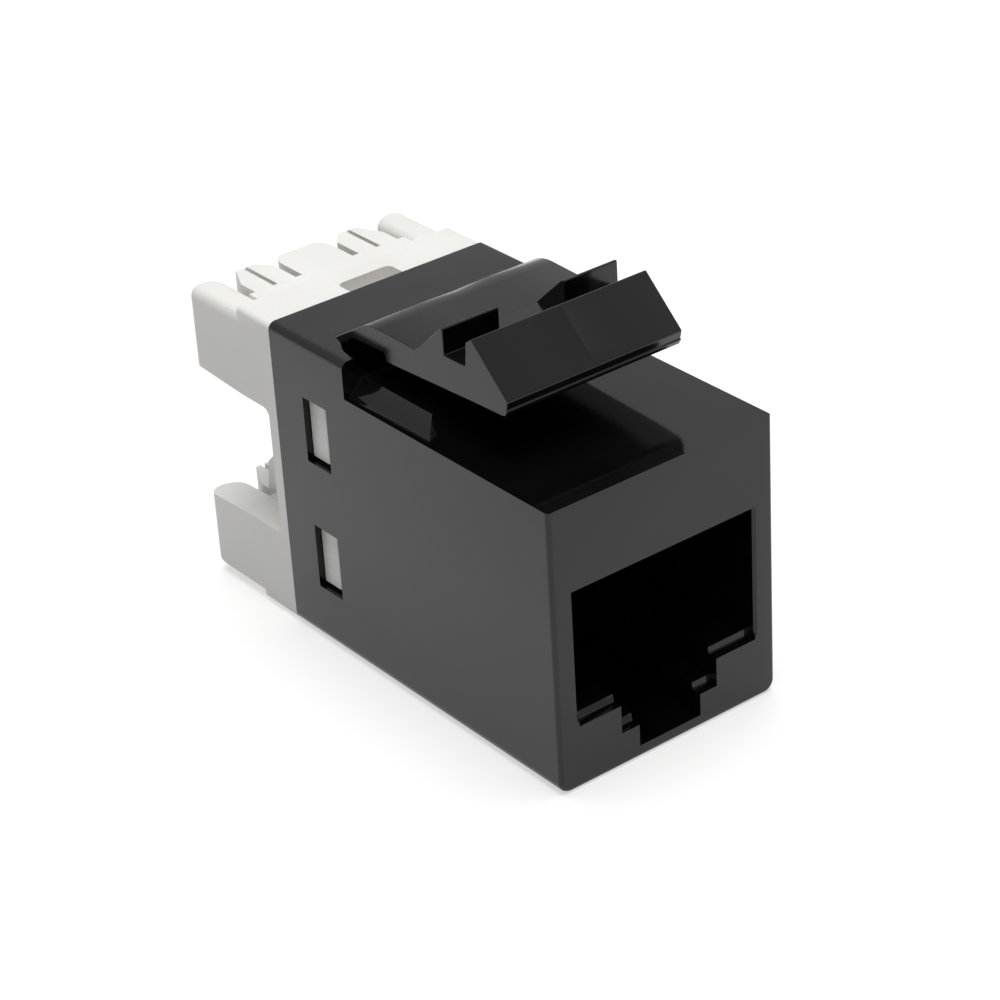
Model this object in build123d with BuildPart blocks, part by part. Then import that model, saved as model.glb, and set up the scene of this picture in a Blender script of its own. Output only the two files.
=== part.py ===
"""Snap-in ethernet jack: plug opening in front, sprung latch arm on top, wire block at the rear."""
import os
from math import cos, radians, sin
from build123d import *

os.makedirs("parts", exist_ok=True)

# All sizes are millimetres. X runs across the jack, Y from the plug opening to the wire block, Z is up.
# The origin is below the middle of the jack, at the height of the flat underside.
housing_width = 14.5
housing_depth = 22.94
section_length = 3.26
tooth_length = 4.8
overall_depth = housing_depth + section_length + tooth_length
body_height = 16.26
shoulder_rise = 2.07
shoulder_height = body_height + shoulder_rise
shoulder_front = 16.4
running_gap = 0.05

# Plug opening: the wide part, and two narrower steps of the key-way below it.
plug_half_width = 5.9
plug_floor = 4.02
plug_roof = 11.3
step_half_width = 3.2
step_floor = 2.37
keyway_half_width = 2.05
keyway_floor = 0.7
plug_depth = 13.5
ledge_rebate_depth = 0.55
ledge_rebate_height = 0.4
mouth_chamfer = 0.15

# Chamber behind the plug opening, for the carrier, the board and the front of the wire block.
chamber_half_width = housing_width / 2 - 1.15
chamber_floor = 1.2
chamber_roof = body_height - 0.66
insert_play = 0.1
insert_half_width = chamber_half_width - insert_play
insert_floor = chamber_floor + insert_play
insert_roof = chamber_roof - insert_play
carrier_depth = 2.4
board_front = plug_depth + carrier_depth + running_gap
board_thickness = 1.6
block_front = board_front + board_thickness + running_gap

# Latch arm and the knuckle that it turns about.
hinge_depth = 18.6
hinge_height = shoulder_height - 0.58
knuckle_radius = 0.55
seat_radius = knuckle_radius + running_gap
arm_half_width = 5.6
channel_half_width = 2.1
arm_top = shoulder_height + 1.79
groove_floor = arm_top + 0.51
crest_height = arm_top + 2.18
stop_top = crest_height - 0.25
nose_depth = 4.87
stop_face = 9.7
wedge_rear = 7.9

# Platform below the arm.
platform_height = 0.89
platform_half_width = housing_width / 2 - 1.3
platform_front = 10.6
platform_top = body_height + platform_height

# Rows of wire teeth.
block_half_width = housing_width / 2 - 0.05
section_rear = housing_depth + section_length
section_top = shoulder_height - 0.13
section_floor = 0.15
row_middle = 9.05
row_top = 17.65
row_inner = 12.85
arm_top_height = 17.8
arm_width = 2.0
arm_rise = 0.3
crown_radius = 0.65
arm_inner_side = block_half_width - arm_width
post_outer_side = arm_inner_side - 0.4
post_width = 2.67
post_inner_side = post_outer_side - post_width
pillar_half_width = post_inner_side - 0.43
gap_front = housing_depth + 0.86
slot_floor = overall_depth - 3.25
tip_start = overall_depth - 1.6
fin_rear = slot_floor + 0.7
fin_slope = 1.95
crest_radius = 0.4

# Contacts.
contact_pitch = 1.016
contact_thickness = 0.3
contact_width = 0.45
contact_height = plug_roof - contact_thickness / 2 - running_gap
tail_rise = 1.6
blade_thickness = 0.4
blade_half_width = 0.75
blade_rear = slot_floor + 1.15
blade_offset = 6.15
pin_half_width = 0.35
pin_play = 0.05


def across(depth):
    """Upright plane across the jack at this depth, facing the rear."""
    return Plane(origin=(0, depth - overall_depth / 2, 0), x_dir=(-1, 0, 0), z_dir=(0, 1, 0))


# Upright plane along the middle, whose first coordinate is the depth behind the front face.
side = Plane(origin=(0, -overall_depth / 2, 0), x_dir=(0, 1, 0), z_dir=(1, 0, 0))


def level(height):
    """Level plane at this height, whose second coordinate is the depth behind the front face."""
    return Plane(origin=(0, -overall_depth / 2, height), x_dir=(1, 0, 0), z_dir=(0, 0, 1))


# Housing: the body, its platform and the raised shoulder.
with BuildPart() as housing:
    with BuildSketch(across(0)) as body_outline:
        with Locations((0, body_height / 2)):
            Rectangle(housing_width, body_height)
        fillet(body_outline.vertices().group_by(Axis.Y)[0], 0.7)
    extrude(amount=housing_depth)
    fillet(housing.faces().sort_by(Axis.Y)[0].edges().filter_by(Axis.Z), 0.25)

    platform_slope = platform_height
    platform_rear = shoulder_front + platform_slope
    with BuildSketch(level(body_height)):
        with Locations((0, (platform_front - platform_slope + platform_rear) / 2)):
            Rectangle(
                2 * (platform_half_width + platform_slope),
                platform_rear - platform_front + platform_slope,
            )
    extrude(amount=platform_height, taper=45)
    platform_foot = housing.edges().filter_by_position(Axis.Z, body_height - 0.01, body_height + 0.01)
    platform_reach = platform_half_width + platform_slope + 0.1
    platform_foot = platform_foot.filter_by_position(Axis.X, -platform_reach, platform_reach)
    platform_foot = platform_foot.filter_by_position(
        Axis.Y, platform_front - platform_slope - 0.1 - overall_depth / 2, platform_rear + 0.1 - overall_depth / 2
    )
    fillet(platform_foot, 0.7)

    with BuildSketch(across(shoulder_front)) as shoulder_outline:
        with Locations((0, (body_height + shoulder_height) / 2)):
            Rectangle(housing_width, shoulder_height - body_height)
        fillet(shoulder_outline.vertices().group_by(Axis.Y)[-1], 0.45)
    extrude(amount=housing_depth - shoulder_front)

    # Pocket round the root of the arm, with a concave seat for the knuckle.
    pocket_rear = 18.9
    with BuildSketch(level(platform_top)) as pocket_outline:
        with Locations((0, (shoulder_front - 1 + pocket_rear) / 2)):
            Rectangle(housing_width - 1.7, pocket_rear - shoulder_front + 1)
        fillet(pocket_outline.vertices().group_by(Axis.Y)[-1], 2.0)
    extrude(amount=shoulder_height, mode=Mode.SUBTRACT)
    with BuildSketch(side):
        with Locations((hinge_depth, hinge_height)):
            Circle(seat_radius)
            Rectangle(seat_radius, shoulder_height, align=(Align.MIN, Align.MIN))
    extrude(amount=arm_half_width + running_gap, both=True, mode=Mode.SUBTRACT)

    # Plug opening with its key-way steps.
    with BuildSketch(across(0)):
        with Locations((0, plug_floor)):
            Rectangle(2 * plug_half_width, plug_roof - plug_floor, align=(Align.CENTER, Align.MIN))
        with Locations((0, step_floor)):
            Rectangle(2 * step_half_width, plug_floor - step_floor, align=(Align.CENTER, Align.MIN))
        with Locations((0, keyway_floor)):
            Rectangle(2 * keyway_half_width, step_floor - keyway_floor, align=(Align.CENTER, Align.MIN))
    extrude(amount=plug_depth + 0.5, mode=Mode.SUBTRACT)
    with BuildSketch(across(mouth_chamfer)):
        with Locations((0, plug_floor)):
            Rectangle(2 * plug_half_width, plug_roof - plug_floor, align=(Align.CENTER, Align.MIN))
    extrude(amount=-2 * mouth_chamfer, taper=-45, mode=Mode.SUBTRACT)
    for ledge_height, ledge_half_width in ((plug_floor, plug_half_width), (step_floor, step_half_width)):
        with BuildSketch(side):
            with BuildLine():
                Polyline(
                    (0, ledge_height),
                    (ledge_rebate_depth + 0.1, ledge_height),
                    (ledge_rebate_depth, ledge_height - ledge_rebate_height),
                    (0, ledge_height - ledge_rebate_height),
                    close=True,
                )
            make_face()
        extrude(amount=ledge_half_width, both=True, mode=Mode.SUBTRACT)

    # Chamber open to the rear.
    with BuildSketch(across(plug_depth)):
        with Locations((0, chamber_floor)):
            Rectangle(2 * chamber_half_width, chamber_roof - chamber_floor, align=(Align.CENTER, Align.MIN))
    extrude(amount=housing_depth, mode=Mode.SUBTRACT)

    # Windows for the snap tabs, and two notches for the lower edge of a panel.
    window_front = 18.2
    window_length = 2.1
    upper_window = 11.15
    lower_window = 3.45
    window_height = 3.8
    with BuildSketch(side):
        with Locations((window_front, upper_window), (window_front, lower_window)):
            Rectangle(window_length, window_height, align=(Align.MIN, Align.MIN))
    extrude(amount=housing_width, both=True, mode=Mode.SUBTRACT)
    with BuildSketch(level(0)):
        with Locations((-4.2, (wedge_rear + stop_face) / 2), (4.2, (wedge_rear + stop_face) / 2)):
            Rectangle(3.2, stop_face - wedge_rear)
    extrude(amount=1.0, mode=Mode.SUBTRACT)
housing.part.label = "housing"
export_step(housing.part, "parts/housing.step")


# Latch arm: a plate with a wedge across its nose and a stop on each side of a middle channel.
with BuildPart() as latch_arm:
    with BuildSketch(side):
        with BuildLine():
            Polyline(
                (hinge_depth + knuckle_radius, hinge_height),
                (19.1, shoulder_height),
                (15.64, arm_top + 0.06),
                (wedge_rear, arm_top),
                (wedge_rear, crest_height - 0.1),
                (7.8, crest_height),
                (7.4, crest_height),
                (nose_depth, arm_top - 0.17),
                (5.22, arm_top - 0.72),
                (5.02, arm_top - 0.84),
                (5.02, arm_top - 1.06),
                (5.2, arm_top - 1.19),
                (14.57, arm_top - 1.62),
                (14.72, arm_top - 1.14),
                (17.2, arm_top - 1.27),
            )
            RadiusArc((17.2, arm_top - 1.27), (17.8, arm_top - 1.87), 0.6)
            Polyline(
                (17.8, arm_top - 1.87),
                (hinge_depth - knuckle_radius, hinge_height),
                (hinge_depth + knuckle_radius, hinge_height),
            )
        make_face()
        with Locations((hinge_depth, hinge_height)):
            Circle(knuckle_radius)
    extrude(amount=arm_half_width, both=True)

    with BuildSketch(side):
        with BuildLine():
            Polyline(
                (12.0, arm_top - 0.3),
                (12.0, arm_top),
                (9.85, stop_top),
                (stop_face, stop_top),
                (stop_face, groove_floor),
                (wedge_rear - 0.3, groove_floor),
                (wedge_rear - 0.3, arm_top - 0.3),
                close=True,
            )
        make_face()
    extrude(amount=arm_half_width, both=True)
    with BuildSketch(level(arm_top)):
        with Locations((0, (wedge_rear + 13) / 2)):
            Rectangle(2 * channel_half_width, 13 - wedge_rear)
    extrude(amount=4, mode=Mode.SUBTRACT)
latch_arm.part.label = "latch_arm"
export_step(latch_arm.part, "parts/latch_arm.step")


def contact_path(rise):
    """Side line of one plug contact whose tail is raised by this much behind the carrier's face."""
    return [
        (board_front + board_thickness, contact_height + rise),
        (plug_depth + 1.2, contact_height + rise),
        (plug_depth + 0.9, contact_height),
        (3.3, contact_height),
        (2.75, contact_height - 0.35),
        (3.2, contact_height - 0.75),
        (10.6, 8.5),
    ]


def across_position(number):
    """Distance from the middle of plug contact 1 to 8."""
    return (number - 4.5) * contact_pitch


# Carrier: closes the back of the plug opening and holds the eight plug contacts.
with BuildPart() as contact_carrier:
    with BuildSketch(across(plug_depth + running_gap)):
        with Locations((0, insert_floor)):
            Rectangle(2 * insert_half_width, insert_roof - insert_floor, align=(Align.CENTER, Align.MIN))
    extrude(amount=carrier_depth - running_gap)
    for number in range(1, 9):
        rise = tail_rise * (number % 2)
        with BuildSketch(side.offset(across_position(number))):
            with BuildLine() as slot_line:
                Polyline(*contact_path(rise))
            trace(slot_line.line, contact_thickness + 2 * pin_play)
        extrude(amount=contact_width / 2 + pin_play, both=True, mode=Mode.SUBTRACT)
contact_carrier.part.label = "contact_carrier"
export_step(contact_carrier.part, "parts/contact_carrier.step")


for number in range(1, 9):
    with BuildPart() as spring_contact:
        with BuildSketch(side.offset(across_position(number))):
            with BuildLine() as contact_line:
                Polyline(*contact_path(tail_rise * (number % 2)))
            trace(contact_line.line, contact_thickness)
        extrude(amount=contact_width / 2, both=True)
    spring_contact.part.label = f"spring_contact_{number}"
    export_step(spring_contact.part, f"parts/spring_contact_{number}.step")


outer_slot = (arm_inner_side + post_outer_side) / 2
inner_slot = (post_inner_side + pillar_half_width) / 2
blade_places = [
    (side_of_middle * slot, row_middle + row * blade_offset)
    for row in (1, -1)
    for slot, side_of_middle in ((outer_slot, -1), (inner_slot, -1), (inner_slot, 1), (outer_slot, 1))
]

# Circuit board, upright, with a hole for every contact tail and blade pin.
with BuildPart() as circuit_board:
    with BuildSketch(across(board_front)):
        with Locations((0, insert_floor)):
            Rectangle(2 * insert_half_width, insert_roof - insert_floor, align=(Align.CENTER, Align.MIN))
        for number in range(1, 9):
            with Locations((-across_position(number), contact_height + tail_rise * (number % 2))):
                Rectangle(
                    contact_width + 2 * pin_play, contact_thickness + 2 * pin_play, mode=Mode.SUBTRACT
                )
        for place, height in blade_places:
            with Locations((-place, height)):
                Rectangle(
                    2 * (pin_half_width + pin_play), blade_thickness + 2 * pin_play, mode=Mode.SUBTRACT
                )
    extrude(amount=board_thickness)
circuit_board.part.label = "circuit_board"
export_step(circuit_board.part, "parts/circuit_board.step")


def blade_outline(play):
    """Outline of one forked blade, grown by this much on each side, with its fork toward the rear."""
    with BuildSketch() as outline:
        Polygon(
            (-pin_half_width - play, board_front),
            (pin_half_width + play, board_front),
            (pin_half_width + play, block_front),
            (blade_half_width + play, block_front),
            (blade_half_width + play, blade_rear + play),
            (-blade_half_width - play, blade_rear + play),
            (-blade_half_width - play, block_front),
            (-pin_half_width - play, block_front),
            align=None,
        )
    return outline.sketch


for number, (place, height) in enumerate(blade_places, 1):
    with BuildPart() as idc_contact:
        with BuildSketch(level(height)):
            with Locations((place, 0)):
                add(blade_outline(0))
                with Locations((0, slot_floor + 0.3)):
                    Rectangle(0.2, 4, align=(Align.CENTER, Align.MIN), mode=Mode.SUBTRACT)
        extrude(amount=blade_thickness / 2, both=True)
    idc_contact.part.label = f"idc_contact_{number}"
    export_step(idc_contact.part, f"parts/idc_contact_{number}.step")


# End arm of a tooth row: a nose rounded in plan, a crowned top and a rising inner face.
with BuildPart() as end_arm:
    with BuildSketch(level(row_inner)) as arm_outline:
        with Locations(((block_half_width + arm_inner_side) / 2, section_rear - 0.5)):
            Rectangle(arm_width, overall_depth - section_rear + 0.5, align=(Align.CENTER, Align.MIN))
        fillet(arm_outline.vertices().group_by(Axis.Y)[-1].sort_by(Axis.X)[0], 0.57 * arm_width)
        fillet(arm_outline.vertices().group_by(Axis.Y)[-1].sort_by(Axis.X)[-1], 0.38 * arm_width)
    extrude(amount=arm_top_height - row_inner)
    crown_edges = end_arm.faces().sort_by(Axis.Z)[-1].edges()
    fillet(crown_edges.sort_by(Axis.Y)[1:], crown_radius)
    with BuildSketch(side):
        with BuildLine():
            Polyline(
                (section_rear, row_inner),
                (overall_depth + 1, row_inner + arm_rise),
                (overall_depth + 1, row_inner - 1),
                close=True,
            )
        make_face()
    extrude(amount=housing_width, mode=Mode.SUBTRACT)


# Upper row of wire teeth: two end arms, two pointed and split posts and a middle pillar on one shelf.
with BuildPart() as tooth_row:
    with BuildSketch(level(row_inner)) as pillar_outline:
        with Locations((0, section_rear - 0.5)):
            Rectangle(
                2 * pillar_half_width, overall_depth - section_rear + 0.5, align=(Align.CENTER, Align.MIN)
            )
        fillet(pillar_outline.vertices().group_by(Axis.Y)[-1], 0.8 * pillar_half_width)
        with Locations((0, section_rear - 0.5)):
            Rectangle(
                2 * arm_inner_side, slot_floor - section_rear + 0.5, align=(Align.CENTER, Align.MIN)
            )
    extrude(amount=row_top - row_inner)
    for hand in (-1, 1):
        post_middle = hand * (post_inner_side + post_outer_side) / 2
        with BuildSketch(level(row_inner)):
            with BuildLine():
                Polyline(
                    (hand * post_inner_side, slot_floor - 0.5),
                    (hand * post_inner_side, tip_start + 0.4),
                    (post_middle - hand * 0.45, overall_depth),
                    (post_middle + hand * 0.45, overall_depth),
                    (hand * post_outer_side, tip_start - 0.3),
                    (hand * post_outer_side, slot_floor - 0.5),
                    close=True,
                )
            make_face()
        extrude(amount=row_top - row_inner)

        # Fin of the post, which reaches into the wire gap and slopes back to the middle.
        with BuildSketch(side.offset(post_middle)):
            with BuildLine():
                Polyline(
                    (gap_front - 0.3, row_middle),
                    (fin_rear - fin_slope - 0.3, row_middle),
                    (fin_rear - 0.3, row_middle + fin_slope),
                    (fin_rear, row_inner + 0.1),
                    (gap_front - 0.3, row_inner + 0.1),
                    close=True,
                )
            make_face()
        extrude(amount=post_width / 2, both=True)
        with BuildSketch(level(row_middle)):
            with Locations((post_middle, slot_floor)):
                Rectangle(0.28, 5, align=(Align.CENTER, Align.MIN))
        extrude(amount=row_top, mode=Mode.SUBTRACT)

    # The rear of the posts and the pillar rounds over into their top.
    with BuildSketch(side):
        with BuildLine():
            crest_arc = RadiusArc(
                (overall_depth - crest_radius, row_top),
                (overall_depth, row_top - crest_radius),
                crest_radius,
            )
            Polyline(
                crest_arc @ 1,
                (overall_depth + 1, row_top - crest_radius),
                (overall_depth + 1, row_top + 1),
                (overall_depth - crest_radius, row_top + 1),
                crest_arc @ 0,
            )
        make_face()
    extrude(amount=housing_width, both=True, mode=Mode.SUBTRACT)
    add(end_arm.part)
    mirror(end_arm.part, about=Plane.YZ)


# Wire block: a flush section behind the housing, a plug-in front half with snap tabs, and two tooth rows.
with BuildPart() as termination_block:
    with BuildSketch(across(housing_depth + running_gap)) as section_outline:
        with Locations((0, (section_floor + section_top) / 2)):
            Rectangle(2 * block_half_width, section_top - section_floor)
        fillet(section_outline.vertices(), 0.35)
    extrude(amount=section_rear - housing_depth - running_gap)
    chamfer(termination_block.faces().sort_by(Axis.Y)[-1].edges().filter_by(Axis.X), 0.2)
    with BuildSketch(across(block_front)):
        with Locations((0, insert_floor)):
            Rectangle(2 * insert_half_width, insert_roof - insert_floor, align=(Align.CENTER, Align.MIN))
    extrude(amount=housing_depth + 1 - block_front)

    # Wire gap between the rows, rounded where the shelves meet the middle wall.
    with BuildSketch(side) as gap_outline:
        with Locations((gap_front, row_middle)):
            Rectangle(10, 2 * (row_inner - row_middle), align=(Align.MIN, Align.CENTER))
        fillet(gap_outline.vertices().group_by(Axis.X)[0], 0.5)
    extrude(amount=housing_width, both=True, mode=Mode.SUBTRACT)
    add(tooth_row.part)
    mirror(tooth_row.part, about=Plane.XY.offset(row_middle))

    # Recess in the top edge, against the housing.
    with BuildSketch(level(section_top - 0.9)) as recess_outline:
        with Locations((0, housing_depth)):
            Rectangle(3.5, 2.9)
        fillet(recess_outline.vertices(), 0.4)
    extrude(amount=2, mode=Mode.SUBTRACT)

    # Snap tabs, thin at the front and thicker where they catch the window.
    tab_play = 0.2
    tab_face = housing_width / 2 - 0.38
    for tab_floor in (upper_window, lower_window):
        with BuildSketch(level(tab_floor + tab_play)):
            for hand in (-1, 1):
                with BuildLine():
                    Polyline(
                        (hand * (insert_half_width - 0.5), window_front + tab_play),
                        (hand * (tab_face - 0.3), window_front + tab_play),
                        (hand * tab_face, window_front + 0.7),
                        (hand * tab_face, window_front + window_length - running_gap),
                        (hand * (insert_half_width - 0.5), window_front + window_length - running_gap),
                        close=True,
                    )
                make_face()
        extrude(amount=window_height - tab_play - running_gap)

    # Pockets for the blades.
    for place, height in blade_places:
        with BuildSketch(level(height)):
            with Locations((place, 0)):
                add(blade_outline(pin_play))
        extrude(amount=blade_thickness / 2 + pin_play, both=True, mode=Mode.SUBTRACT)
termination_block.part.label = "termination_block"
export_step(termination_block.part, "parts/termination_block.step")
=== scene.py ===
import bmesh
import bpy
import numpy as np
from mathutils import Matrix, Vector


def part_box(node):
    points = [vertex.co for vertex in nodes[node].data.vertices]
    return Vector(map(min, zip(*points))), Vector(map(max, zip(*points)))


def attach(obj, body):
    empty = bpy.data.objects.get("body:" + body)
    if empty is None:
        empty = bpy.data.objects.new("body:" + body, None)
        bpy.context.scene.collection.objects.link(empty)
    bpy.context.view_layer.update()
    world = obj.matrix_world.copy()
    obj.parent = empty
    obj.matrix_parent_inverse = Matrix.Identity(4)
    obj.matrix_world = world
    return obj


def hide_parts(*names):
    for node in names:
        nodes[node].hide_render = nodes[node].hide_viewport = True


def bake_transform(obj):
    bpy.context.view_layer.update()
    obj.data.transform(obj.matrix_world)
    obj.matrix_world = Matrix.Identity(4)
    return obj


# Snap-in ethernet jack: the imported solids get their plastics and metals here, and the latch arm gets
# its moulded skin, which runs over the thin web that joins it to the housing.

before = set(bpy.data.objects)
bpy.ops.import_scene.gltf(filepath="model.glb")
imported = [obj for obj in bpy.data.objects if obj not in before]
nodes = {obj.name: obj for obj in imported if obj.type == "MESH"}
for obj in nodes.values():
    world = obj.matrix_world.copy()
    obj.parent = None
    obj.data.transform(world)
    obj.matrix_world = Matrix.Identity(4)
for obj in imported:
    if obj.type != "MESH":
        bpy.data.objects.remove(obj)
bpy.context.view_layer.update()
mm = 0.001
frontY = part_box("housing")[0].y  # the front face; depths below are measured back from it

print("stage: materials")

# A noise field is its scale per metre, its detail and its stretch along X, Y and Z.
# Polish is the lowest and highest roughness, and a grain depth is in mm.
blackMould = {
    "dark": (0.0022, 0.0022, 0.0024),
    "light": (0.0038, 0.0038, 0.0040),
    "flow": (260, 3, (1, 0.35, 1)),
    "grain": (5200, 2, (1, 1, 1)),
    "grainDepth": 0.002,
    "grainStrength": 0.2,
    "ior": 1.46,
    "bodyPolish": (0.05, 0.10),
    "armPolish": (0.13, 0.2),
}
whiteMould = {
    "dark": (0.80, 0.797, 0.765),
    "light": (0.86, 0.858, 0.825),
    "flow": (180, 3, (1, 0.5, 1)),
    "grain": (6500, 3, (1, 1, 1)),
    "grainDepth": 0.008,
    "grainStrength": 0.4,
    "polish": (0.38, 0.5),
    "scatter": 0.12,
    "scatterReach": 0.6,  # mm
}
carrierMould = {
    "dark": (0.012, 0.012, 0.013),
    "light": (0.022, 0.022, 0.023),
    "grain": (4200, 3, (1, 1, 1)),
    "grainDepth": 0.01,
    "grainStrength": 0.5,
    "polish": (0.3, 0.45),
}
drawnLines = {
    "lines": (9000, 3, (8, 0.4, 8)),
    "cloud": (900, 2, (1, 1, 1)),
    "depth": 0.003,
    "strength": 0.3,
}
gold = {"dark": (0.78, 0.52, 0.2), "light": (0.92, 0.66, 0.3), "polish": (0.14, 0.26)}
tin = {"dark": (0.56, 0.56, 0.55), "light": (0.72, 0.72, 0.7), "polish": (0.28, 0.42)}
solderMask = {
    "dark": (0.012, 0.085, 0.035),
    "light": (0.02, 0.12, 0.05),
    "weaveScale": 900,
    "weaveDistortion": 0.6,
    "weaveDepth": 0.01,
    "weaveStrength": 0.4,
    "roughness": 0.25,
}


# An empty material with its node tree, its shader and the piece's own coordinates.
def startMaterial(name):
    material = bpy.data.materials.new(name)
    material.use_nodes = True
    tree = material.node_tree
    shader = tree.nodes["Principled BSDF"]
    place = tree.nodes.new("ShaderNodeTexCoord")
    return material, tree, shader, place


# Noise over the piece's own coordinates.
def noiseField(tree, place, scale, detail, stretch):
    mapping = tree.nodes.new("ShaderNodeMapping")
    mapping.inputs["Scale"].default_value = stretch
    tree.links.new(place.outputs["Object"], mapping.inputs["Vector"])
    noise = tree.nodes.new("ShaderNodeTexNoise")
    noise.inputs["Scale"].default_value = scale
    noise.inputs["Detail"].default_value = detail
    tree.links.new(mapping.outputs["Vector"], noise.inputs["Vector"])
    return noise.outputs["Fac"]


# Noise stays mostly between these two values, so they stand for a field's lowest and highest.
noiseLow = 0.3
noiseHigh = 0.7


# Roughness that follows a noise field.
def polishBy(tree, shader, field, polish):
    spread = tree.nodes.new("ShaderNodeMapRange")
    spread.inputs["From Min"].default_value = noiseLow
    spread.inputs["From Max"].default_value = noiseHigh
    spread.inputs["To Min"].default_value = polish[0]
    spread.inputs["To Max"].default_value = polish[1]
    tree.links.new(field, spread.inputs["Value"])
    tree.links.new(spread.outputs["Result"], shader.inputs["Roughness"])


# Base colour that follows a noise field.
def tintBy(tree, shader, field, look):
    ramp = tree.nodes.new("ShaderNodeValToRGB")
    ramp.color_ramp.elements[0].position = noiseLow
    ramp.color_ramp.elements[0].color = (*look["dark"], 1)
    ramp.color_ramp.elements[1].position = noiseHigh
    ramp.color_ramp.elements[1].color = (*look["light"], 1)
    tree.links.new(field, ramp.inputs["Fac"])
    tree.links.new(ramp.outputs["Color"], shader.inputs["Base Color"])


# Bump that follows a noise field.
def roughenBy(tree, shader, field, depth, strength):
    bump = tree.nodes.new("ShaderNodeBump")
    bump.inputs["Distance"].default_value = depth * mm
    bump.inputs["Strength"].default_value = strength
    tree.links.new(field, bump.inputs["Height"])
    tree.links.new(bump.outputs["Normal"], shader.inputs["Normal"])


# Black moulding compound: colour and polish streak along the flow, under a fine grain.
def makeBlackPlastic(name, polish):
    material, tree, shader, place = startMaterial(name)
    flow = noiseField(tree, place, *blackMould["flow"])
    grain = noiseField(tree, place, *blackMould["grain"])
    tintBy(tree, shader, flow, blackMould)
    polishBy(tree, shader, flow, polish)
    shader.inputs["IOR"].default_value = blackMould["ior"]
    roughenBy(tree, shader, grain, blackMould["grainDepth"], blackMould["grainStrength"])
    return material


# White moulding compound, which lets a little light in.
def makeWhitePlastic():
    material, tree, shader, place = startMaterial("whitePlastic")
    flow = noiseField(tree, place, *whiteMould["flow"])
    grain = noiseField(tree, place, *whiteMould["grain"])
    tintBy(tree, shader, flow, whiteMould)
    polishBy(tree, shader, grain, whiteMould["polish"])
    shader.inputs["Subsurface Weight"].default_value = whiteMould["scatter"]
    shader.inputs["Subsurface Scale"].default_value = whiteMould["scatterReach"] * mm
    roughenBy(tree, shader, grain, whiteMould["grainDepth"], whiteMould["grainStrength"])
    return material


# Duller black plastic of the insert behind the plug opening.
def makeCarrierPlastic():
    material, tree, shader, place = startMaterial("carrierPlastic")
    grain = noiseField(tree, place, *carrierMould["grain"])
    tintBy(tree, shader, grain, carrierMould)
    polishBy(tree, shader, grain, carrierMould["polish"])
    roughenBy(tree, shader, grain, carrierMould["grainDepth"], carrierMould["grainStrength"])
    return material


# Metal whose fine lines run along the piece.
def makeMetal(name, look):
    material, tree, shader, place = startMaterial(name)
    lines = noiseField(tree, place, *drawnLines["lines"])
    cloud = noiseField(tree, place, *drawnLines["cloud"])
    tintBy(tree, shader, cloud, look)
    polishBy(tree, shader, lines, look["polish"])
    shader.inputs["Metallic"].default_value = 1
    roughenBy(tree, shader, lines, drawnLines["depth"], drawnLines["strength"])
    return material


# Solder mask over a woven glass sheet.
def makeSolderMask():
    material, tree, shader, place = startMaterial("boardMask")
    wave = tree.nodes.new("ShaderNodeTexWave")
    wave.inputs["Scale"].default_value = solderMask["weaveScale"]
    wave.inputs["Distortion"].default_value = solderMask["weaveDistortion"]
    tree.links.new(place.outputs["Object"], wave.inputs["Vector"])
    weave = wave.outputs["Fac"]
    tintBy(tree, shader, weave, solderMask)
    shader.inputs["Roughness"].default_value = solderMask["roughness"]
    roughenBy(tree, shader, weave, solderMask["weaveDepth"], solderMask["weaveStrength"])
    return material


blackPlastic = makeBlackPlastic("blackPlastic", blackMould["bodyPolish"])
armPlastic = makeBlackPlastic("armPlastic", blackMould["armPolish"])
whitePlastic = makeWhitePlastic()
carrierPlastic = makeCarrierPlastic()
goldContact = makeMetal("goldContact", gold)
tinnedContact = makeMetal("tinnedContact", tin)
boardMask = makeSolderMask()


# Gives a piece its one material.
def dress(piece, material):
    piece.data.materials.clear()
    piece.data.materials.append(material)


for name, node in nodes.items():
    if name.startswith("spring_contact"):
        dress(node, goldContact)
    elif name.startswith("idc_contact"):
        dress(node, tinnedContact)
dress(nodes["circuit_board"], boardMask)
dress(nodes["contact_carrier"], carrierPlastic)

print("stage: moulded shells")

# Lengths in mm and angles in degrees.
shell = {
    "edgeRadius": 0.05,  # what a mould leaves on a sharp edge
    "edgeSteps": 2,
    "edgeAngle": 35,  # sharper edges get the radius
    "shadeAngle": 28,  # sharper edges stay crisp in the shading
    "mergeDistance": 0.002,
    "flatAngle": 0.4,  # facets that differ by less become one
}


# Smooth shading up to an angle.
def shadeSmooth(mesh, sharpDegrees):
    mesh.shade_smooth()
    mesh.set_sharp_from_angle(angle=np.radians(sharpDegrees))


# A merged copy of a solid's mesh, with a small radius on its sharp edges, takes the solid's place.
def mouldedShell(name, node, material, body):
    mesh = nodes[node].data.copy()
    work = bmesh.new()
    work.from_mesh(mesh)
    bmesh.ops.remove_doubles(work, verts=work.verts, dist=shell["mergeDistance"] * mm)
    flat = np.radians(shell["flatAngle"])
    bmesh.ops.dissolve_limit(work, angle_limit=flat, verts=work.verts, edges=work.edges)
    work.to_mesh(mesh)
    work.free()
    piece = bpy.data.objects.new(name, mesh)
    bpy.context.scene.collection.objects.link(piece)
    shadeSmooth(mesh, shell["shadeAngle"])
    edge = piece.modifiers.new("mouldRadius", "BEVEL")
    edge.width = shell["edgeRadius"] * mm
    edge.segments = shell["edgeSteps"]
    edge.limit_method = "ANGLE"
    edge.angle_limit = np.radians(shell["edgeAngle"])
    edge.harden_normals = True
    dress(piece, material)
    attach(piece, body)
    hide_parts(node)


mouldedShell("housingShell", "housing", blackPlastic, "jack_body")
mouldedShell("blockShell", "termination_block", whitePlastic, "jack_body")

print("stage: latch arm")

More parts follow.
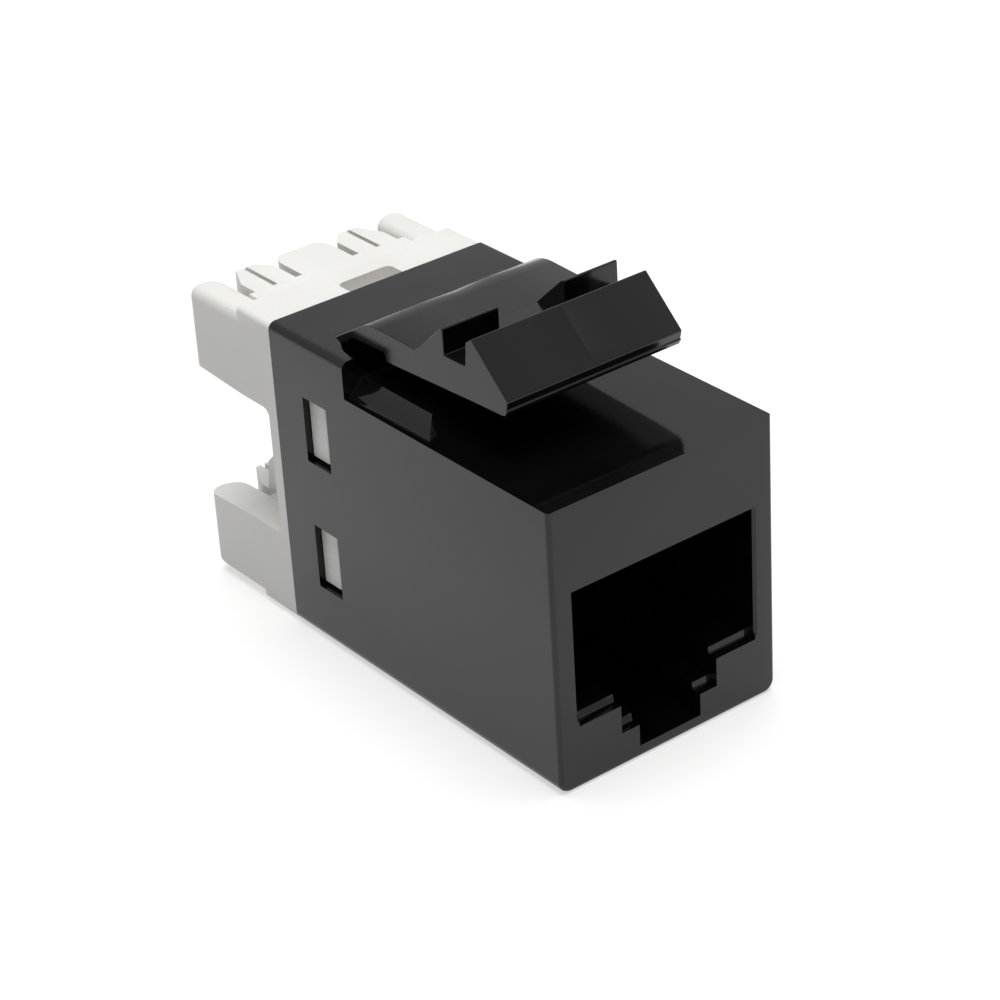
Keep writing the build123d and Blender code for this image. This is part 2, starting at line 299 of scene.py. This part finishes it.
# Sizes in mm. The outline is the arm's side view through a stop: depth, height and corner radius.
latch = {
    "outline": (
        (19.35, 17.1, 0.0),
        (19.35, 18.334, 0.0),
        (19.05, 18.334, 0.5),
        (15.98, 20.2, 2.8),
        (12.0, 20.12, 0.3),
        (9.86, 22.05, 0.06),
        (9.70, 22.05, 0.06),
        (9.69, 20.63, 0.08),
        (8.02, 20.64, 0.08),
        (7.88, 21.98, 0.06),
        (7.42, 22.295, 0.1),
        (4.77, 19.84, 0.15),
        (4.89, 19.37, 0.04),
        (4.84, 19.33, 0.05),
        (4.845, 19.25, 0.05),
        (4.92, 19.21, 0.04),
        (4.98, 19.03, 0.1),
        (5.21, 18.94, 0.1),
        (14.57, 18.52, 0.08),
        (14.72, 18.98, 0.08),
        (17.86, 18.86, 0.62),
        (17.92, 17.1, 0.0),
    ),
    "cornerPoints": 5,
    "spacing": 0.22,
    "halfWidth": 5.6,
    "sideRadius": 0.04,  # the outline's outer corners need at least this radius
    "sidePoints": 4,
    "plateTop": 20.12,  # top of the arm between the two stops
    "channelHalf": 2.1,  # half the way between the stops
    "stopFront": 8.3,
    "stopRear": 12.05,
    "notchFront": 7.85,
    "notchBrink": 21.9,
    "seamHalf": 0.035,  # the mould line down the middle of the wedge
    "seamRise": 0.014,
    "seamFront": 5.2,
    "seamRear": 7.3,
    "taperFront": 7.5,  # the arm is a little wider at the bend than at the wedge
    "taperRear": 16.0,
    "taperWidth": 0.13,
    "rootFront": 18.55,  # the root is wider, to close the slot of the knuckle's seat
    "rootFlare": 0.07,
    "bendFront": 16.3,
    "bendRear": 18.95,
    "bendHeight": 18.0,
    "shadeAngle": 30,
}


# A closed outline whose corners (depth, height, radius) become arcs that touch both of their sides.
def roundCorners(corners, steps):
    at = corners[:, :2]
    radius = corners[:, 2:]
    back = np.roll(at, 1, axis=0) - at
    ahead = np.roll(at, -1, axis=0) - at
    back /= np.linalg.norm(back, axis=1, keepdims=True)
    ahead /= np.linalg.norm(ahead, axis=1, keepdims=True)
    half = np.arccos(np.clip((back * ahead).sum(1, keepdims=True), -0.9999, 0.9999)) / 2
    reach = radius / np.tan(half)
    middle = back + ahead
    middle /= np.linalg.norm(middle, axis=1, keepdims=True)
    centre = at + middle * radius / np.sin(half)
    turn = (np.pi - 2 * half)[:, None]
    share = np.linspace(0, 1, steps)[None, :, None]
    first = (at + back * reach - centre)[:, None]
    last = (at + ahead * reach - centre)[:, None]
    arcs = (np.sin((1 - share) * turn) * first + np.sin(share * turn) * last) / np.sin(turn)
    points = (centre[:, None] + arcs).reshape(-1, 2)
    step = np.linalg.norm(points - np.roll(points, 1, axis=0), axis=1)
    return points[step > 1e-4]  # a corner without a radius gives its point several times


# The same closed outline with extra points, so that no side is longer than the spacing.
def divideOutline(points, spacing):
    closest = 0.01
    closed = np.vstack([points, points[:1]])
    along = np.concatenate([[0], np.cumsum(np.linalg.norm(np.diff(closed, axis=0), axis=1))])
    stops = np.union1d(along, np.arange(0, along[-1], spacing))
    stops = stops[np.concatenate([[True], np.diff(stops) > closest])]
    stops = stops[stops < along[-1] - closest]
    depth = np.interp(stops, along, closed[:, 0])
    height = np.interp(stops, along, closed[:, 1])
    return np.column_stack([depth, height])


# Unit normals of a closed outline that point away from its material.
def outwardNormals(points):
    run = np.roll(points, -1, axis=0) - np.roll(points, 1, axis=0)
    run /= np.linalg.norm(run, axis=1, keepdims=True)
    x, y = points.T
    area = (x * np.roll(y, -1) - np.roll(x, -1) * y).sum()
    return np.column_stack([run[:, 1], -run[:, 0]]) * np.sign(area)


# Joins outlines across the jack: point j of row i (depth, height) stands at x = across[i, j].
def sweepAcross(name, outlines, across):
    rows, count = outlines.shape[:2]
    points = np.empty((rows, count, 3))
    points[..., 0] = across * mm
    points[..., 1] = outlines[..., 0] * mm + frontY
    points[..., 2] = outlines[..., 1] * mm
    index = np.arange(rows * count).reshape(rows, count)
    beside = np.roll(index, -1, axis=1)
    quads = np.stack([index[:-1], beside[:-1], beside[1:], index[1:]], axis=-1).reshape(-1, 4)
    caps = [index[0][::-1].tolist(), index[-1].tolist()]
    mesh = bpy.data.meshes.new(name)
    mesh.from_pydata(points.reshape(-1, 3).tolist(), [], quads.tolist() + caps)
    mesh.update()
    work = bmesh.new()
    work.from_mesh(mesh)
    bmesh.ops.recalc_face_normals(work, faces=work.faces)
    work.to_mesh(mesh)
    work.free()
    piece = bpy.data.objects.new(name, mesh)
    bpy.context.scene.collection.objects.link(piece)
    return piece


# The outline between the stops: the notch, the stop and its slope drop to the plate.
def channelOutline(full):
    depth, height = full.T
    behindWall = (depth > latch["notchFront"]) & (height < latch["notchBrink"])
    onStop = (depth > latch["stopFront"]) | behindWall
    lowered = onStop & (depth < latch["stopRear"]) & (height > latch["plateTop"])
    return np.column_stack([depth, np.where(lowered, latch["plateTop"], height)])


# The mould line stands proud of the wedge's sloping face.
def seamOutline(full, channel):
    depth, height = full.T
    onWedge = (depth > latch["seamFront"]) & (depth < latch["seamRear"]) & (height > latch["plateTop"])
    return channel + outwardNormals(full) * np.where(onWedge, latch["seamRise"], 0)[:, None]


# The arm's whole skin, with rounded sides, which runs from the wedge back to the housing.
def makeLatchSkin():
    corners = roundCorners(np.array(latch["outline"]), latch["cornerPoints"])
    full = divideOutline(corners, latch["spacing"])
    channel = channelOutline(full)
    raised = seamOutline(full, channel)
    radius = latch["sideRadius"]
    turn = np.radians(np.linspace(0, 90, latch["sidePoints"]))
    inset = radius * (1 - np.sin(turn))
    edge = latch["halfWidth"] - radius + radius * np.cos(turn)
    rounded = full[None] - outwardNormals(full)[None] * inset[:, None, None]
    middleRows = [full, channel, channel, raised, channel, channel, full]
    outlines = np.concatenate([rounded, middleRows, rounded[::-1]])
    inner = latch["channelHalf"]
    seam = latch["seamHalf"]
    across = np.concatenate([-edge, [-inner, -inner, -seam, 0, seam, inner, inner], edge[::-1]])
    depth = outlines[..., 0]
    taper = (depth - latch["taperFront"]) / (latch["taperRear"] - latch["taperFront"])
    widening = latch["taperWidth"] * np.clip(taper, 0, 1)
    added = np.where(depth > latch["rootFront"], latch["rootFlare"], widening)
    widened = across[:, None] * (1 + added / latch["halfWidth"])
    piece = sweepAcross("latchSkin", outlines, widened)
    shadeSmooth(piece.data, latch["shadeAngle"])
    isSide = np.array([len(face.vertices) < 5 for face in piece.data.polygons])
    piece.data.polygons.foreach_set("use_smooth", isSide)  # the two caps stay flat
    dress(piece, armPlastic)
    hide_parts("latch_arm")
    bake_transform(piece)


makeLatchSkin()

print("stage: floor, light and camera")

ground = {
    "reach": 1.6,  # metres
    "drop": 0.02,  # mm below the jack's underside
    "paint": 0.56,
    "lift": 0.57,
}


# One operation on an output and either another output or a fixed number.
def mathNode(tree, operation, first, second):
    node = tree.nodes.new("ShaderNodeMath")
    node.operation = operation
    tree.links.new(first, node.inputs[0])
    if isinstance(second, float):
        node.inputs[1].default_value = second
    else:
        tree.links.new(second, node.inputs[1])
    return node.outputs[0]


# A pale floor: lit by the lamps, and lifted to white where the camera or a reflection sees it.
def makeFloor():
    reach = ground["reach"]
    drop = -ground["drop"] * mm
    mesh = bpy.data.meshes.new("floor")
    corners = [(-reach, -reach, drop), (reach, -reach, drop), (reach, reach, drop), (-reach, reach, drop)]
    mesh.from_pydata(corners, [], [(0, 1, 2, 3)])
    floor = bpy.data.objects.new("floor", mesh)
    bpy.context.scene.collection.objects.link(floor)
    material = bpy.data.materials.new("paleFloor")
    material.use_nodes = True
    tree = material.node_tree
    tree.nodes.remove(tree.nodes["Principled BSDF"])
    paint = tree.nodes.new("ShaderNodeBsdfDiffuse")
    paint.inputs["Color"].default_value = (ground["paint"], ground["paint"], ground["paint"], 1)
    lift = tree.nodes.new("ShaderNodeEmission")
    lift.inputs["Color"].default_value = (1, 1, 1, 1)
    path = tree.nodes.new("ShaderNodeLightPath")
    seen = mathNode(tree, "MAXIMUM", path.outputs["Is Camera Ray"], path.outputs["Is Glossy Ray"])
    tree.links.new(mathNode(tree, "MULTIPLY", seen, ground["lift"]), lift.inputs["Strength"])
    both = tree.nodes.new("ShaderNodeAddShader")
    tree.links.new(paint.outputs[0], both.inputs[0])
    tree.links.new(lift.outputs[0], both.inputs[1])
    tree.links.new(both.outputs[0], tree.nodes["Material Output"].inputs["Surface"])
    dress(floor, material)


sky = {
    "asLight": 0.16,
    "seen": 1.0,
    "reflected": 0.55,  # how far a reflection goes from asLight to seen
}


# White where the camera sees it, dimmer in a reflection and dimmest as a light.
def makeSky():
    world = bpy.data.worlds.new("studio")
    bpy.context.scene.world = world
    world.use_nodes = True
    tree = world.node_tree
    glow = tree.nodes["Background"]
    glow.inputs["Color"].default_value = (1, 1, 1, 1)
    path = tree.nodes.new("ShaderNodeLightPath")
    reflected = mathNode(tree, "MULTIPLY", path.outputs["Is Glossy Ray"], sky["reflected"])
    seen = mathNode(tree, "MAXIMUM", path.outputs["Is Camera Ray"], reflected)
    strength = tree.nodes.new("ShaderNodeMapRange")
    strength.inputs["To Min"].default_value = sky["asLight"]
    strength.inputs["To Max"].default_value = sky["seen"]
    tree.links.new(seen, strength.inputs["Value"])
    tree.links.new(strength.outputs["Result"], glow.inputs["Strength"])


# Places and sizes in metres, power in watts.
softBoxes = {
    "overhead": {"place": (0.03, 0.02, 0.55), "size": 0.5, "power": 3.25},
    "left": {"place": (-0.5, -0.1, 0.25), "size": 0.35, "power": 0.2},
}
lampAim = (0, 0, 0.01)


# Each lamp faces the jack, and no reflection shows it.
def makeLamps():
    for name, box in softBoxes.items():
        light = bpy.data.lights.new(name, "AREA")
        light.size = box["size"]
        light.energy = box["power"]
        lamp = bpy.data.objects.new(name, light)
        bpy.context.scene.collection.objects.link(lamp)
        back = np.array(box["place"]) - np.array(lampAim)
        back /= np.linalg.norm(back)
        right = np.cross((0, 1, 0), back)
        right /= np.linalg.norm(right)
        up = np.cross(back, right)
        turned = np.eye(4)
        turned[:3, :3] = np.column_stack([right, up, back])
        turned[:3, 3] = box["place"]
        lamp.matrix_world = Matrix(turned.tolist())
        lamp.visible_glossy = False


view = {
    "azimuth": -36.80,  # degrees round from the front face, toward the left side
    "elevation": 29.41,
    "roll": -3.50,
    "distance": 0.16017,  # metres, as the lengths below
    "slide": (0.00087, -0.00114),
    "pivot": (0, 0.012, 0.008),  # across, depth behind the front face, and height
    "focalPixels": 3042.11,
    "framePixels": 1000,
    "sensorWidth": 36,  # mm
    "nearest": 0.005,
}


# Looks at the pivot from the photograph's side, then slides in its own plane by a small amount.
def makeCamera():
    azimuth, elevation, roll = np.radians([view["azimuth"], view["elevation"], view["roll"]])
    flat = np.cos(elevation)
    back = np.array([np.sin(azimuth) * flat, -np.cos(azimuth) * flat, np.sin(elevation)])
    right = np.array([np.cos(azimuth), np.sin(azimuth), 0])
    up = np.cross(back, right)
    rolledRight = np.cos(roll) * right + np.sin(roll) * up
    rolledUp = -np.sin(roll) * right + np.cos(roll) * up
    turned = np.eye(4)
    turned[:3, :3] = np.column_stack([rolledRight, rolledUp, back])
    pivot = np.array(view["pivot"]) + [0, frontY, 0]
    slide = np.array([*view["slide"], -view["distance"]])
    turned[:3, 3] = pivot - turned[:3, :3] @ slide
    lens = bpy.data.cameras.new("photoView")
    lens.sensor_width = view["sensorWidth"]
    lens.lens = view["focalPixels"] / view["framePixels"] * view["sensorWidth"]
    lens.clip_start = view["nearest"]
    camera = bpy.data.objects.new("photoView", lens)
    bpy.context.scene.collection.objects.link(camera)
    camera.matrix_world = Matrix(turned.tolist())
    bpy.context.scene.camera = camera


makeFloor()
makeSky()
makeLamps()
makeCamera()
bpy.context.scene.view_settings.view_transform = "Standard"
